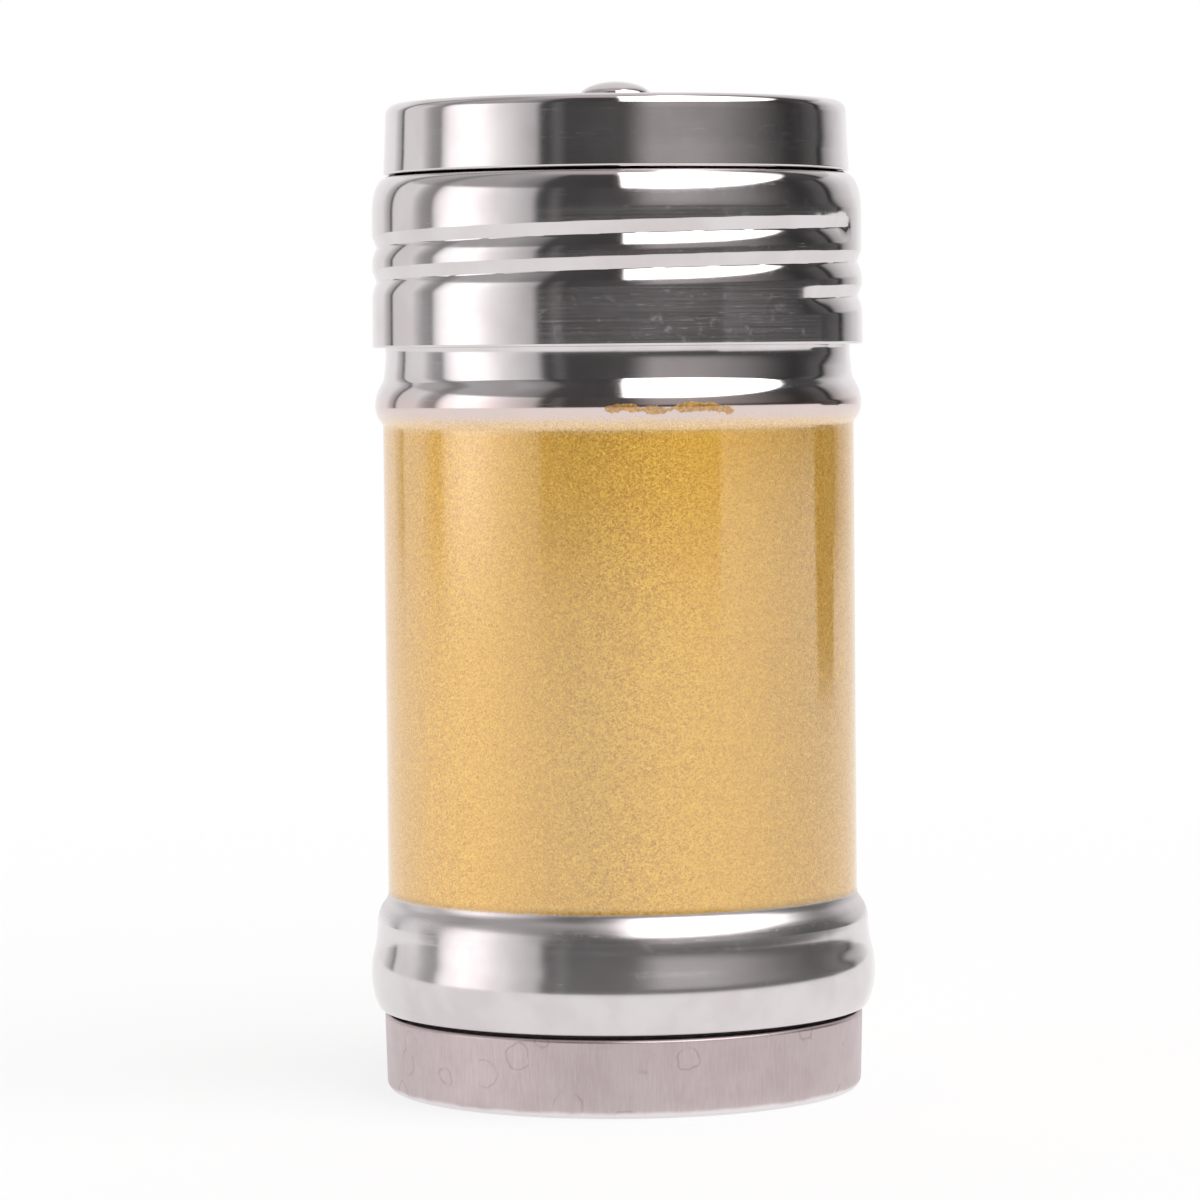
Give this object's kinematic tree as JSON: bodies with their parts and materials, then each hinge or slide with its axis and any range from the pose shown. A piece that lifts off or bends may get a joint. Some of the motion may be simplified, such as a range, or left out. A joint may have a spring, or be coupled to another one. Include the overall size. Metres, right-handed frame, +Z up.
{
  "type": "spice shaker",
  "caption": "Steel spice shaker: lacquered cylindrical jar with beads and a pressed base, screw lid with a rolled thread, and a riveted cap that turns over sprinkling holes.",
  "frame": {"origin": "centre of the base's underside, on the surface the shaker stands on", "axes": "+Z up along the shaker's axis, -Y towards the front, +X to the front view's right"},
  "size_m": [0.0504, 0.0504, 0.1005],
  "materials": {
    "gold_lacquer": "gold metallic flake lacquer sprayed on the straight wall, bare mirror-polished steel on the beads and neck",
    "polished_steel": "mirror-polished stainless steel with fine circumferential scratches",
    "satin_steel": "satin stainless steel with a fine vertical grain and faint water marks",
    "spring_steel": "plain spring steel",
    "silicone": "matt translucent white silicone",
    "nylon": "natural white nylon"
  },
  "bodies": {
    "jar": {"jar_shell": "gold_lacquer", "base_cup": "satin_steel"},
    "seal": {"lid_gasket": "silicone"},
    "lid": {"lid_shell": "polished_steel"},
    "cap": {"rotating_cap": "polished_steel", "rivet": "polished_steel", "bearing_washer": "nylon", "spring_washer": "spring_steel", "tail_washer": "spring_steel"}
  },
  "joints": [
    {"name": "lid_rise", "type": "slide", "parent": "jar", "child": "seal", "axis": [0, 0, 1], "range_m": [0, 0.018]},
    {"name": "lid_unscrew", "type": "hinge", "parent": "seal", "child": "lid", "pos_m": [0, 0, 0.0742], "axis": [0, 0, 1], "range_deg": [0, 1905]},
    {"name": "cap_turn", "type": "hinge", "parent": "lid", "child": "cap", "pos_m": [0, 0, 0.097], "axis": [0, 0, 1], "continuous": true}
  ],
  "couplings": [
    {"joint": "lid_rise", "follows": "lid_unscrew", "m_per_rad": 0.00054113}
  ]
}
